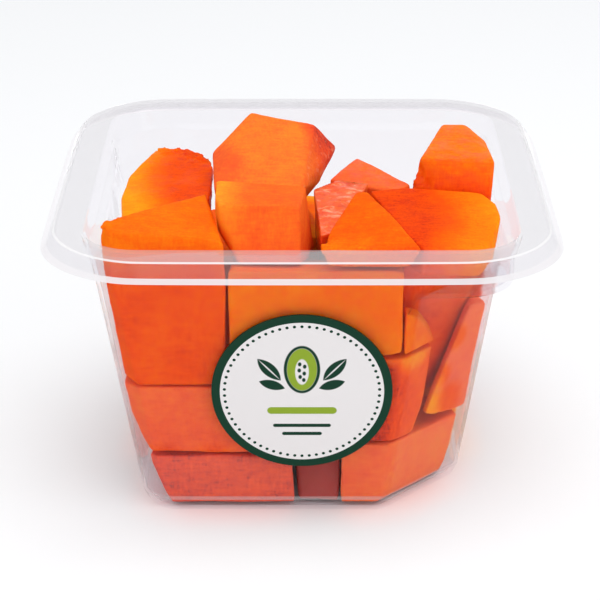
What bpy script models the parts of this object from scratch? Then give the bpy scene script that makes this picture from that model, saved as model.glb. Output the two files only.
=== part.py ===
"""Open square tub of clear plastic, filled with cut papaya, with a round label on its front wall.

The tub stands on z = 0 with its base centred on the origin. +X is right, -Y is the labelled front.
Sizes below are in millimetres; MM turns them into metres where the meshes are made.
"""
import math
import random

import bmesh
import bpy
import numpy as np
from mathutils import Matrix, Vector

MM = 0.001

# Tub: half widths across the flats, from the base up to the flange
SKIRT_HALF = 63.0
FLANGE_HALF = 59.6
MOUTH_HALF = 52.1
NECK_HALF = 51.8
WALL_TOP_HALF = 49.9
WALL_FOOT_HALF = 40.6
BASE_HALF = 39.1

# Tub: heights. The shelf is the low ledge over each cut corner
HEIGHT = 76.5
SKIRT_DROP = 4.3
LEDGE_Z = 70.0
SHELF_Z = 62.6
WALL_FOOT_Z = 3.8
LEDGE_RISE = 1.4
SHELF_RISE = 1.2
WALL = 0.8
FLANGE_EDGE = 0.5
FLANGE_EDGE_DROP = 0.3
LIP_EDGE = 0.3
LIP_EDGE_DROP = 0.4

# Tub: corners. A cut corner takes this length off each side, with small rounds at its two ends
CUT_FOOT = 19.0
CUT_TOP = 21.5
CUT_ROUND = 2.5
SMALL_CORNER_FOOT = 8.0
SMALL_CORNER_TOP = 5.0
NECK_CORNER = 13.5
NECK_TAPER = 0.5
FLANGE_CORNER = 23.5
SKIRT_CORNER = 26.4
CORNER_STEPS = 4

# Label
LABEL_RADIUS = 22.1
LABEL_THICK = 0.3
LABEL_Z = 36.5
LABEL_SIDES = 48

# Fruit
TOUCH_GAP = 0.3
WALL_GAP = 0.5
EDGE_ROUND = 0.4
SLIVER = 1.0
FLAT_ANGLE = 3.0
SHARP_ANGLE = 20.0
NEAR_ZERO = 1e-4
FRUIT_RADIUS = 46.0
PEEL_STEP = 17.0
JITTER = 2.2
SEED = 7

WALL_SLOPE = (WALL_TOP_HALF - WALL_FOOT_HALF) / (LEDGE_Z - WALL_FOOT_Z)
BASE_SLOPE = (WALL_FOOT_HALF - BASE_HALF) / WALL_FOOT_Z
HALF_TURN_TANGENT = math.tan(math.radians(22.5))


def clear_scene():
    for old in list(bpy.data.objects):
        bpy.data.objects.remove(old, do_unlink=True)


def material(name, colour, roughness, transmission=0.0):
    made = bpy.data.materials.new(name)
    made.use_nodes = True
    shader = made.node_tree.nodes["Principled BSDF"]
    shader.inputs["Base Color"].default_value = (*colour, 1.0)
    shader.inputs["Roughness"].default_value = roughness
    shader.inputs["Metallic"].default_value = 0.0
    shader.inputs["Transmission Weight"].default_value = transmission
    return made


def add_object(name, bm, finish):
    mesh = bpy.data.meshes.new(name)
    bm.to_mesh(mesh)
    bm.free()
    made = bpy.data.objects.new(name, mesh)
    made.data.materials.append(finish)
    bpy.context.scene.collection.objects.link(made)
    return made


# Tub

def wall_half(z):
    """Outer half width of the straight wall at height z."""
    if z < WALL_FOOT_Z:
        return BASE_HALF + BASE_SLOPE * z
    return WALL_FOOT_HALF + WALL_SLOPE * (z - WALL_FOOT_Z)


def cut_length(z):
    return CUT_FOOT + (CUT_TOP - CUT_FOOT) * z / LEDGE_Z


def small_radius(z):
    return SMALL_CORNER_FOOT + (SMALL_CORNER_TOP - SMALL_CORNER_FOOT) * z / LEDGE_Z


def round_corner(radius, bulge=0.0):
    """A round corner, written as a cut with two eighth-turn rounds that meet.

    A bulge moves the round outwards, past the flat walls on both sides of it.
    """
    return (radius * (2.0 - math.sqrt(2.0)), radius, bulge)


def body_corners(z, above_shelf):
    """Front right, back right, back left and front left corners of the body below the ledge."""
    cut = (cut_length(z), CUT_ROUND, 0.0)
    small = round_corner(small_radius(z))
    neck = round_corner(NECK_CORNER, NECK_HALF - wall_half(z) - NECK_TAPER)
    wide = neck if above_shelf else cut
    return (wide, small, wide, small)


def ring(half, z, corners):
    """Points of one level of the tub, counter-clockwise from the front right corner."""
    points = []
    for index, (cut, radius, bulge) in enumerate(corners):
        turn = Matrix.Rotation(math.radians(90.0 * index), 3, "Z")
        reach = radius * HALF_TURN_TANGENT
        spread = math.degrees(math.acos(1.0 - bulge / radius))
        near = radius - bulge
        far = cut + reach - bulge
        rounds = (
            (-90.0 - spread, -45.0, Vector((half - far, -half + near, z))),
            (-45.0, spread, Vector((half - near, -half + far, z))),
        )
        for start, end, centre in rounds:
            for step in range(CORNER_STEPS + 1):
                angle = math.radians(start + (end - start) * step / CORNER_STEPS)
                offset = Vector((math.cos(angle), math.sin(angle), 0.0)) * radius
                points.append(turn @ (centre + offset))
    return points


def plain_corners(radius):
    return (round_corner(radius),) * 4


def tub_levels():
    """Every level from the base's outside, up and over the flange, and down the inside to the floor."""
    neck_foot = LEDGE_Z + LEDGE_RISE
    lip = HEIGHT - WALL
    skirt_z = HEIGHT - SKIRT_DROP
    low = SHELF_Z
    open_z = low + SHELF_RISE
    neck = plain_corners(NECK_CORNER)
    outside = [
        (BASE_HALF, 0.0, body_corners(0.0, False)),
        (WALL_FOOT_HALF, WALL_FOOT_Z, body_corners(WALL_FOOT_Z, False)),
        (wall_half(low), low, body_corners(low, False)),
        (wall_half(open_z), open_z, body_corners(open_z, True)),
        (WALL_TOP_HALF, LEDGE_Z, body_corners(LEDGE_Z, True)),
        (NECK_HALF, neck_foot, neck),
        (MOUTH_HALF + WALL, lip, plain_corners(NECK_CORNER + WALL)),
        (FLANGE_HALF - FLANGE_EDGE, lip, plain_corners(FLANGE_CORNER - FLANGE_EDGE)),
        (SKIRT_HALF - WALL, skirt_z, plain_corners(SKIRT_CORNER - WALL)),
        (SKIRT_HALF, skirt_z, plain_corners(SKIRT_CORNER)),
        (FLANGE_HALF + FLANGE_EDGE, HEIGHT - FLANGE_EDGE_DROP, plain_corners(FLANGE_CORNER + FLANGE_EDGE)),
        (FLANGE_HALF, HEIGHT, plain_corners(FLANGE_CORNER)),
    ]
    inside = [
        (MOUTH_HALF + LIP_EDGE, HEIGHT, plain_corners(NECK_CORNER + LIP_EDGE)),
        (MOUTH_HALF, HEIGHT - LIP_EDGE_DROP, neck),
        (NECK_HALF - WALL, neck_foot + WALL, plain_corners(NECK_CORNER - WALL)),
        (WALL_TOP_HALF - WALL, LEDGE_Z + WALL, body_corners(LEDGE_Z, True)),
        (wall_half(open_z) - WALL, open_z + WALL, body_corners(open_z, True)),
        (wall_half(low) - WALL, low + WALL, body_corners(low, False)),
        (WALL_FOOT_HALF - WALL, WALL_FOOT_Z, body_corners(WALL_FOOT_Z, False)),
        (BASE_HALF - WALL, WALL, body_corners(0.0, False)),
    ]
    return outside + inside


def make_tub(finish):
    bm = bmesh.new()
    rows = []
    for half, z, corners in tub_levels():
        rows.append([bm.verts.new(point * MM) for point in ring(half, z, corners)])
    for lower, upper in zip(rows, rows[1:]):
        count = len(lower)
        for index in range(count):
            after = (index + 1) % count
            bm.faces.new((lower[index], lower[after], upper[after], upper[index]))
    bm.faces.new(reversed(rows[0]))
    bm.faces.new(rows[-1])
    bmesh.ops.recalc_face_normals(bm, faces=bm.faces)
    bmesh.ops.triangulate(bm, faces=bm.faces)
    return add_object("tub", bm, finish)


def make_label(finish):
    """A thin disc on the leaning front wall, a hair in front of it."""
    lean = math.atan(WALL_SLOPE)
    outward = Vector((0.0, -math.cos(lean), -math.sin(lean)))
    on_wall = Vector((0.0, -wall_half(LABEL_Z), LABEL_Z))
    bm = bmesh.new()
    bmesh.ops.create_cone(
        bm,
        cap_ends=True,
        segments=LABEL_SIDES,
        radius1=LABEL_RADIUS * MM,
        radius2=LABEL_RADIUS * MM,
        depth=LABEL_THICK * MM,
    )
    made = add_object("label", bm, finish)
    made.location = (on_wall + outward * (TOUCH_GAP + LABEL_THICK / 2.0)) * MM
    made.rotation_euler = (math.radians(90.0) + lean, 0.0, 0.0)
    return made


# Fruit: every piece is a convex block, cut flat where a knife or a neighbour meets it

def block(x_range, y_range, z_range, turn=0.0, lean=0.0):
    """Upper and lower corners of a hand-cut block that fills a range, turned and leant a little."""
    middle = Vector([sum(pair) / 2.0 for pair in (x_range, y_range, z_range)])
    spin = Matrix.Rotation(math.radians(turn), 3, "Z") @ Matrix.Rotation(math.radians(lean), 3, "X")
    corners = []
    for z in z_range:
        for x in x_range:
            for y in y_range:
                nudge = Vector([random.uniform(-JITTER, JITTER) for _ in range(3)])
                corners.append(tuple(middle + spin @ (Vector((x, y, z)) - middle) + nudge))
    return corners


def fruit_pieces():
    """Name, colour group and corners of each piece. A later piece is pressed flat by an earlier one."""
    return [
        # Pieces whose tops show above the rim
        ("piece_front_left_high", "yellow", [
            (-48, -50, 80.3), (-19.8, -51.5, 77.7), (-17.6, -52, 76.2), (-23.4, -24.3, 80.4),
            (-43, -40, 80.5), (-47.3, -44, 80.6), (-46, -50, 36.8), (-17.6, -50, 36.8), (-20.5, -24.5, 38),
            (-42, -34, 40),
        ]),
        ("piece_top_front_middle", "orange", [
            (-21, -40, 83.5), (-0.5, -41, 83), (1, -27, 83), (-21, -26, 84.5), (-21, -38.5, 76.8),
            (-17, -42.5, 74.5), (-15, -43.5, 69), (0, -44, 69), (3.5, -26, 66), (-19, -25, 67),
        ]),
        ("piece_top_middle_high", "orange", [
            (-21.8, -23.6, 81), (0, -24.5, 80.5), (3, -4, 91), (-13, -2, 93.5), (-22.7, -8, 85),
            (9, 1, 82.8), (8.5, 11, 79), (-10, 13, 84), (5.2, -9, 77.8), (-20, -21, 67), (-4, -20, 70),
            (0, 4, 68), (-12, 8, 64),
        ]),
        ("piece_top_front_wedge", "orange", [
            (13, -27, 82), (16, -27, 82), (23, -42, 79), (3, -50, 75), (30, -52, 75), (6, -49, 70.2),
            (26, -49, 70.2), (13, -27, 74), (16, -27, 74),
        ]),
        ("piece_top_right_rear", "red", [
            (27, -16, 78), (47, -18, 77), (29, -15, 86), (48, -15, 85), (33, -2, 86), (36, 8, 87),
            (42, 8, 87), (47, 0, 85), (27, -14, 60), (46, -15, 60), (45, 10, 60), (30, 10, 60),
        ]),
        ("piece_top_right", "yellow", [
            (16.3, -20, 79.5), (27, -17, 79), (44, -17, 78), (48, -24, 77.5), (48.5, -31, 76.5),
            (44.5, -45, 74), (42, -50, 75), (27.5, -50, 75.3), (42, -48, 67.8), (28, -49, 68),
            (46, -40, 69), (47, -26, 66.5), (44, -17, 66), (22, -17, 66.5), (18, -22, 68.5),
        ]),
        ("piece_rear_left_high", "yellow", [
            (-44, -28, 75), (-45, -18, 77), (-44, -6, 78), (-40, 5, 79), (-37, 12, 80), (-29, 11, 79),
            (-23, 4, 79), (-22, -5, 79), (-22, -24, 77), (-44, -24, 57), (-40, 10, 56), (-24, 8, 54),
            (-23, -22, 56),
        ]),
        ("piece_top_wet", "red", [
            (0.3, -21, 79), (9, -13, 80), (17, -16, 80), (9, -37, 75), (2, -42, 75), (1, -18, 60),
            (15, -14, 60), (13, -22, 62), (2, -24, 62),
        ]),
        ("piece_top_middle_rear", "red", [
            (4, -17, 79), (14, 4, 79.5), (28, -13, 78), (18, -22, 78), (6, -10, 56), (14, 8, 56),
            (28, -6, 56), (20, -16, 56),
        ]),
        # Pieces that show through the front wall
        ("piece_front_middle_high", "yellow", [
            (-19, -54, 74), (24.4, -54, 74), (24.6, -52, 58), (24.4, -50, 46.2), (14, -49, 44.6),
            (-19, -49, 44), (24, -34, 69), (-18, -32, 69), (24, -30, 47), (14, -28, 44.6), (-18, -26, 44),
        ]),
        ("piece_front_left_mid", "red", [
            (-46, -49, 37.5), (-5.5, -49, 37.5), (-5.5, -46, 20.5), (-39, -45, 20.5), (-37.5, -39.6, 16.5),
            (-5.5, -39.6, 16.5), (-44, -20, 37), (-7, -16, 37), (-40, -16, 16.5), (-7, -14, 16.5),
        ]),
        ("piece_front_left_low", "red", [
            (-39, -45, 17), (-2, -45, 17), (-1, -44, 0), (-32, -44, 0), (-36, -18, 17),
            (-4, -16, 17), (-34, -16, 0), (-3, -16, 0),
        ]),
        ("piece_right_high", "orange", [
            (42.5, -32.3, 53.5), (48, -26, 51.2), (48.5, -23, 42), (45.5, -19.5, 22), (40.5, -23, 20.9),
            (34, -30.4, 22), (31.7, -35, 24.2), (37.5, -32.2, 34.6), (40, -31.5, 46.8), (40.3, -27.5, 51.5),
            (34.2, -29, 34), (29.9, -31.5, 24), (43, -17, 50), (42, -12, 22), (33, -23, 22.5),
        ]),
        ("piece_front_right_mid", "red", [
            (7.5, -48, 45), (20, -48, 45.5), (33, -39.4, 46), (31.7, -37.5, 32), (30.6, -37.2, 26.4),
            (28.8, -37.4, 20), (26, -41, 20.4), (20.6, -44, 20.6), (7.5, -46, 20.6), (31, -33.3, 46),
            (24, -36.5, 45), (28.3, -30.5, 28), (26, -31, 20.5), (12, -32, 20.5), (12, -35, 45),
        ]),
        ("piece_front_right_high", "orange", [
            (24, -48, 58.6), (26.8, -47, 57.2), (29.5, -44.3, 54), (31.7, -40.8, 49), (33, -39.4, 46),
            (24, -48, 45.5), (24, -39.6, 57), (28, -37, 55), (31, -34, 50), (31.6, -33, 46),
            (24, -37.5, 45.5),
        ]),
        ("piece_front_right_low", "orange", [
            (9, -46, 21.5), (21, -46, 21.5), (30, -38, 25), (33, -34, 24), (41, -27, 21), (9, -44, 0),
            (22, -42, 0), (37, -27, 0), (39.3, -25.5, 11), (12, -14, 22), (37, -13, 22), (34, -13, 0),
            (13, -14, 0),
        ]),
        ("piece_right_corner", "red", [
            (24, -39.2, 66), (40, -28, 65.5), (48, -22.5, 65), (48, -21, 54), (48, -17, 65), (47, -17, 54),
            (24, -24, 66), (24, -34.8, 46), (25.5, -30, 26), (34.6, -20.8, 26), (33, -17, 26),
            (25.5, -22, 26),
        ]),
        ("piece_front_middle_mid", "orange", [
            (-6, -48, 44.5), (9, -48, 44.5), (9, -45, 18), (-5, -45, 16), (-6, -16, 44.5), (8, -18, 44.5),
            (9, -16, 20), (-6, -16, 18),
        ]),
        ("piece_front_gap", "red", [
            (-2, -34, 17), (11, -35, 20), (10, -37.5, 0), (-1, -37, 0), (-3, -12, 18), (12, -13, 20),
            (11, -13, 0), (-2, -12, 0),
        ]),
        # Pieces in the middle, behind the front row
        ("piece_left_mid", "yellow", block((-47, -16), (-24, 12), (29, 56), 4, 3)),
        ("piece_left_low", "orange", block((-42, -12), (-16, 13), (1, 28), -5, 2)),
        ("piece_middle_mid", "orange", block((-16, 12), (-22, 9), (34, 64), 8, -4)),
        ("piece_middle_low", "red", block((-12, 16), (-12, 14), (1, 33), -6, 3)),
        ("piece_right_mid", "red", block((12, 47), (-16, 13), (33, 59), -6, 4)),
        ("piece_right_low", "yellow", block((16, 43), (-13, 15), (1, 32), 5, -3)),
        # Pieces along the back wall
        ("piece_rear_left_mid", "orange", block((-48, -14), (13, 50), (31, 50), 6, -9)),
        ("piece_rear_left_low", "yellow", block((-43, -11), (14, 44), (1, 31), -4, 3)),
        ("piece_rear_middle_mid", "yellow", block((-14, 17), (12, 50), (34, 55), -5, -10)),
        ("piece_rear_middle_low", "orange", block((-11, 15), (15, 44), (1, 34), 4, 2)),
        ("piece_rear_right_mid", "orange", block((17, 48), (14, 50), (31, 51), 7, -8)),
        ("piece_rear_right_low", "red", block((15, 43), (16, 44), (1, 30), -5, 2)),
    ]


# Side of a piece that was the peeled skin: outward direction, and the way that the fruit ran
PEELED_SIDES = {
    "piece_front_middle_high": ((0, -1, 0), (1, 0, 0)),
    "piece_left_mid": ((-1, 0, 0), (0, 1, 0)),
    "piece_right_low": ((1, 0, 0), (0, 0, 1)),
    "piece_rear_left_low": ((0, 1, 0), (1, 0, 0)),
    "piece_rear_left_mid": ((-1, 0, 0), (0, 0, 1)),
    "piece_rear_middle_mid": ((0, 1, 0), (0, 0, 1)),
    "piece_rear_right_mid": ((1, 0, 0), (0, 1, 0)),
}


def peel_side(bm, outward, along):
    """Turn one flat side into three flats that follow the round of the fruit."""
    outward = Vector(outward)
    middle = sum((vert.co for vert in bm.verts), Vector()) / len(bm.verts)
    reach = max((vert.co - middle).dot(outward) for vert in bm.verts)
    centre = middle + outward * (reach - FRUIT_RADIUS)
    for angle in (-PEEL_STEP, PEEL_STEP):
        normal = Matrix.Rotation(math.radians(angle), 3, Vector(along)) @ outward
        slice_off(bm, centre + normal * FRUIT_RADIUS, normal)


def neck_planes():
    """Three upright flats inside each round corner of the neck."""
    centre = NECK_HALF - NECK_CORNER
    reach = NECK_CORNER - WALL - WALL_GAP
    planes = []
    for quarter in range(4):
        turn = Matrix.Rotation(math.radians(90.0 * quarter), 3, "Z")
        corner = turn @ Vector((centre, centre, 0.0))
        for angle in (22.5, 45.0, 67.5):
            outward = turn @ Matrix.Rotation(math.radians(angle), 3, "Z") @ Vector((1.0, 0.0, 0.0))
            planes.append((corner + outward * reach, outward))
    return planes


def wall_planes(half, z, slope, with_corners):
    """The four leaning walls, and the flats across their corners, for one band of the body."""
    reach = half - WALL - WALL_GAP
    lengthen = (CUT_TOP - CUT_FOOT) / LEDGE_Z
    shrink = (SMALL_CORNER_TOP - SMALL_CORNER_FOOT) / LEDGE_Z
    flat = Vector((1.0, 0.0, -slope)).normalized()
    planes = []
    for quarter in range(4):
        turn = Matrix.Rotation(math.radians(90.0 * quarter), 3, "Z")
        planes.append((turn @ Vector((reach, 0.0, z)), turn @ flat))
        if not with_corners:
            continue
        if quarter % 2 == 0:
            distance = (2.0 * reach - CUT_FOOT) / math.sqrt(2.0)
            corner_slope = (2.0 * slope - lengthen) / math.sqrt(2.0)
        else:
            distance = (reach - SMALL_CORNER_FOOT) * math.sqrt(2.0) + SMALL_CORNER_FOOT
            corner_slope = (slope - shrink) * math.sqrt(2.0) + shrink
        corner_turn = turn @ Matrix.Rotation(math.radians(-45.0), 3, "Z")
        corner = Vector((1.0, 0.0, -corner_slope)).normalized()
        planes.append((corner_turn @ Vector((distance, 0.0, z)), corner_turn @ corner))
    return planes


def inside_planes(lowest):
    """Point and outward normal of each flat that bounds the room inside the tub.

    A piece that lies wholly above the shelves may reach out over them.
    """
    floor = [(Vector((0.0, 0.0, WALL + TOUCH_GAP)), Vector((0.0, 0.0, -1.0)))]
    below_shelf = lowest < SHELF_Z + SHELF_RISE + WALL + TOUCH_GAP
    body = wall_planes(WALL_FOOT_HALF, WALL_FOOT_Z, WALL_SLOPE, below_shelf)
    foot = wall_planes(BASE_HALF, WALL, BASE_SLOPE, below_shelf)
    return floor + body + foot + neck_planes()


def hull(points):
    bm = bmesh.new()
    for point in points:
        bm.verts.new(Vector(point))
    made = bmesh.ops.convex_hull(bm, input=bm.verts)
    leftover = [item for item in made["geom_interior"] if isinstance(item, bmesh.types.BMVert)]
    bmesh.ops.delete(bm, geom=leftover, context="VERTS")
    bmesh.ops.recalc_face_normals(bm, faces=bm.faces)
    return bm


def slice_off(bm, place, normal):
    """Remove what lies on the normal's side of a plane, and close the cut."""
    reach = max((vert.co - place).dot(normal) for vert in bm.verts)
    if reach <= NEAR_ZERO:
        return
    geometry = list(bm.verts) + list(bm.edges) + list(bm.faces)
    cut = bmesh.ops.bisect_plane(
        bm, geom=geometry, dist=NEAR_ZERO, plane_co=place, plane_no=normal, clear_outer=True
    )
    rim = [item for item in cut["geom_cut"] if isinstance(item, bmesh.types.BMEdge)]
    bmesh.ops.edgeloop_fill(bm, edges=rim)


def corner_array(bm):
    return np.array([vert.co for vert in bm.verts])


def face_normals(bm):
    return [np.array(face.normal) for face in bm.faces if face.calc_area() > SLIVER]


def press_against(earlier, later):
    """Flatten the later piece where it would run into the earlier one."""
    first = corner_array(earlier)
    second = corner_array(later)
    across = second.mean(axis=0) - first.mean(axis=0)
    directions = face_normals(earlier)
    directions += [-normal for normal in face_normals(later)]
    directions.append(across / np.linalg.norm(across))
    depths = [(first @ way).max() - (second @ way).min() for way in directions]
    best = int(np.argmin(depths))
    if depths[best] <= -TOUCH_GAP:
        return
    way = directions[best]
    place = Vector(way * ((first @ way).max() + TOUCH_GAP))
    slice_off(later, place, Vector(-way))
    later.normal_update()


def tidy(bm):
    """Drop slivers: corners that almost meet are one corner of a smaller hull."""
    bmesh.ops.remove_doubles(bm, verts=bm.verts, dist=SLIVER)
    cleaned = hull([vert.co.copy() for vert in bm.verts])
    bm.free()
    bmesh.ops.dissolve_limit(
        cleaned,
        angle_limit=math.radians(FLAT_ANGLE),
        verts=cleaned.verts,
        edges=cleaned.edges,
    )
    return cleaned


def make_fruit(finishes):
    placed = []
    for name, group, corners in fruit_pieces():
        bm = hull(corners)
        if name in PEELED_SIDES:
            peel_side(bm, *PEELED_SIDES[name])
        for place, normal in inside_planes(min(corner[2] for corner in corners)):
            slice_off(bm, place, normal)
        bm.normal_update()
        for earlier in placed:
            press_against(earlier, bm)
        bm = tidy(bm)
        placed.append(bm)
        shown = bm.copy()
        bmesh.ops.scale(shown, vec=(MM, MM, MM), verts=shown.verts)
        piece = add_object(name, shown, finishes[group])
        bevel = piece.modifiers.new("soft edges", "BEVEL")
        bevel.width = EDGE_ROUND * MM
        bevel.segments = 1
        bevel.limit_method = "ANGLE"
        bevel.angle_limit = math.radians(SHARP_ANGLE)
    for bm in placed:
        bm.free()


def main():
    random.seed(SEED)
    clear_scene()
    make_tub(material("clear_plastic", (0.93, 0.93, 0.95), 0.08, 1.0))
    make_label(material("label_paper", (0.80, 0.78, 0.78), 0.5))
    make_fruit({
        "yellow": material("papaya_yellow", (0.90, 0.34, 0.04), 0.35),
        "orange": material("papaya_orange", (0.88, 0.22, 0.03), 0.35),
        "red": material("papaya_red", (0.80, 0.12, 0.03), 0.3),
    })


main()
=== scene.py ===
# %% [markdown]
# # A tub of cut papaya
#
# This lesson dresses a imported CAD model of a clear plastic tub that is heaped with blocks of
# papaya and carries a round sticker. The CAD model gives every size and place. Each piece here
# is made over its own CAD solid, so nothing has to be fitted by eye.
#
# Lengths are in metres. MM turns millimetres into metres.

import math

import bpy
import numpy as np
from mathutils import Matrix, Vector


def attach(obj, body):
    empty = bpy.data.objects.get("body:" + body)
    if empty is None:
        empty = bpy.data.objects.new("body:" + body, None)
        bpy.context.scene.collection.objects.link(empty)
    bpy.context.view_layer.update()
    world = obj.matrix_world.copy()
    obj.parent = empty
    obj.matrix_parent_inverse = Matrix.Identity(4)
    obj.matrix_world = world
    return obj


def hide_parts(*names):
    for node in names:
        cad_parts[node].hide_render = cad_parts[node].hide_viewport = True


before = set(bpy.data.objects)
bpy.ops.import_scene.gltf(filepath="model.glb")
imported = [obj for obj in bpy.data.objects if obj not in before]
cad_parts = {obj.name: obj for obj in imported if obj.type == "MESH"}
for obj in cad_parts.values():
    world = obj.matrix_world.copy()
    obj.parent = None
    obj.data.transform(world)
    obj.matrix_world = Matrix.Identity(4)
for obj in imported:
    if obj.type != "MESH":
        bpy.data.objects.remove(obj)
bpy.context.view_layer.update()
MM = 0.001
print("CAD nodes:", len(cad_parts))

# %% [markdown]
# ## Camera
#
# The camera stands in front of the tub and looks down on it by about 24 degrees, through a long
# lens, so that the walls hardly converge. Its place could be found by eye, but a fit to the
# rim, the walls and the base gives it within a pixel. The small shift puts the tub at the
# height in the frame that it has there.

# %% Camera
CAMERA_PLACE = Vector((0.0, -0.4988, 0.2607))
LOOKS_DOWN = math.radians(24.1148)
SENSOR_WIDTH = 36
LENS = 124.46
SHIFT = (-0.0033, 0.0193)

bpy.ops.object.camera_add(location=CAMERA_PLACE, rotation=(math.radians(90) - LOOKS_DOWN, 0, 0))
camera = bpy.context.object
camera.name = "camera"
camera.data.sensor_width = SENSOR_WIDTH
camera.data.lens = LENS
camera.data.shift_x, camera.data.shift_y = SHIFT
camera.data.clip_start = 10 * MM
bpy.context.scene.camera = camera
print("camera at", tuple(round(value, 4) for value in camera.location))

# %% [markdown]
# ## Small helpers for modelling
#
# Every operator acts on what is selected, and the loaded nodes start out selected. So each
# step first selects one object alone. A CAD node's mesh is loose triangles, so a copy of it is
# merged into one skin before it is shaped, and the node itself is never touched.

# %% Helpers for objects
MERGE_DISTANCE = 0.01 * MM


def only(piece):
    """Select one object alone and make it active."""
    bpy.ops.object.select_all(action="DESELECT")
    piece.select_set(True)
    bpy.context.view_layer.objects.active = piece


def edit_all(piece):
    """Open a piece in edit mode with all of it selected."""
    only(piece)
    bpy.ops.object.mode_set(mode="EDIT")
    bpy.ops.mesh.select_all(action="SELECT")


def leave_edit():
    bpy.ops.object.mode_set(mode="OBJECT")


def apply_modifier(piece, kind, **settings):
    """Add a modifier with these settings and apply it."""
    only(piece)
    made = piece.modifiers.new(kind.lower(), kind)
    for key, value in settings.items():
        setattr(made, key, value)
    bpy.ops.object.modifier_apply(modifier=made.name)


def copy_of_node(cad_node, name):
    """A copy of a CAD node's mesh, merged from loose triangles into one skin."""
    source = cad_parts[cad_node]
    piece = bpy.data.objects.new(name, source.data.copy())
    bpy.context.scene.collection.objects.link(piece)
    piece.data.materials.clear()
    edit_all(piece)
    bpy.ops.mesh.remove_doubles(threshold=MERGE_DISTANCE)
    bpy.ops.mesh.customdata_custom_splitnormals_clear()
    leave_edit()
    return piece


def hand_over(piece, cad_node, finish):
    """Give a finished piece its material and body, and hide the CAD node that it stands for."""
    piece.data.materials.clear()
    piece.data.materials.append(finish)
    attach(piece, "root")
    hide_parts(cad_node)


print("object helpers ready")


# %% Helpers for reading and marking a mesh
def corner_places(piece):
    places = np.empty(len(piece.data.vertices) * 3)
    piece.data.vertices.foreach_get("co", places)
    return places.reshape(-1, 3)


def corner_normals(piece):
    normals = np.empty(len(piece.data.vertices) * 3)
    piece.data.vertex_normals.foreach_get("vector", normals)
    return normals.reshape(-1, 3)


def store(piece, name, values, domain="POINT"):
    """Keep one number for each corner or face, for a material to read."""
    made = piece.data.attributes.new(name, "FLOAT", domain)
    made.data.foreach_set("value", values.astype(np.float32))


print("mesh helpers ready")

# %% [markdown]
# ## Small helpers for materials
#
# A material is a tree of nodes. These helpers add a node, set its values and link its inputs in
# one call, so that a line of code reads like the sum or mix that it makes.

# %% Helpers for nodes
def new_material(name):
    material = bpy.data.materials.new(name)
    material.use_nodes = True
    return material, material.node_tree, material.node_tree.nodes["Principled BSDF"]


def plug(tree, source, target):
    """Link a socket, or set a value, on an input socket."""
    if isinstance(source, bpy.types.NodeSocket):
        tree.links.new(source, target)
    else:
        target.default_value = source


def node(tree, kind, inputs=None, **settings):
    """Add a node, set it up, and feed its inputs by name or number."""
    made = tree.nodes.new("ShaderNode" + kind)
    for key, value in settings.items():
        setattr(made, key, value)
    for key, source in (inputs or {}).items():
        plug(tree, source, made.inputs[key])
    return made


def new_group(name, inputs, outputs):
    """A node group with named inputs (name, kind, value) and outputs (name, kind)."""
    tree = bpy.data.node_groups.new(name, "ShaderNodeTree")
    for title, kind, value in inputs:
        socket = tree.interface.new_socket(title, in_out="INPUT", socket_type="NodeSocket" + kind)
        if value is not None:
            socket.default_value = value
    for title, kind in outputs:
        tree.interface.new_socket(title, in_out="OUTPUT", socket_type="NodeSocket" + kind)
    return tree, tree.nodes.new("NodeGroupInput").outputs, tree.nodes.new("NodeGroupOutput").inputs


def use_group(tree, group, inputs):
    made = tree.nodes.new("ShaderNodeGroup")
    made.node_tree = group
    for key, source in inputs.items():
        plug(tree, source, made.inputs[key])
    return made.outputs


print("node helpers ready")


# %% Helpers for sums, mixes and patterns
def maths(tree, operation, *sources, clamp=False):
    made = node(tree, "Math", operation=operation, use_clamp=clamp)
    for socket, source in zip(made.inputs, sources):
        plug(tree, source, socket)
    return made.outputs[0]


def mix_colours(tree, share, first, second):
    made = node(tree, "Mix", data_type="RGBA")
    for index, source in ((0, share), (6, first), (7, second)):
        plug(tree, source, made.inputs[index])
    return made.outputs[2]


def stored(tree, name):
    """A number that is stored on the mesh."""
    return node(tree, "Attribute", attribute_name=name).outputs["Fac"]


def noise(tree, vector, scale, detail=3.0, roughness=0.5):
    """Noise as a number around one half."""
    made = node(tree, "TexNoise", {
        "Vector": vector, "Scale": scale, "Detail": detail, "Roughness": roughness,
    })
    return made.outputs["Fac"]


def grain(tree, vector, scale, turn, roughness=0.65):
    """Noise that is stretched and turned, so that it looks combed."""
    combed = node(tree, "Mapping", {"Vector": vector, "Rotation": turn, "Scale": scale})
    return noise(tree, combed.outputs[0], 1.0, 3.0, roughness)


def swing(tree, pattern, weight):
    """How far a pattern lies from one half, times a weight."""
    return maths(tree, "MULTIPLY", maths(tree, "SUBTRACT", pattern, 0.5), weight)


def bump_of(tree, height, strength, distance):
    """A normal that is bent by a height."""
    made = node(tree, "Bump", {"Strength": strength, "Distance": distance, "Height": height})
    return made.outputs[0]


print("pattern helpers ready")

# %% [markdown]
# ## Papaya flesh
#
# Ripe papaya runs from yellow just under the skin, through orange, to a deep red-orange beside
# the seeds. A block that is cut from it shows a part of that run, so its colour depends on
# where it was cut. A plain gradient along one axis would run straight through the block. Here
# each point gets a number from 0 at the skin to 1 at the seeds, measured from the round of the
# fruit, and it is stored on the mesh as the attribute "ripeness".
#
# A second attribute, "torn", marks the side that lay against the seeds, and edges that tore.
# It is rough, stringy and wet there.

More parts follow.
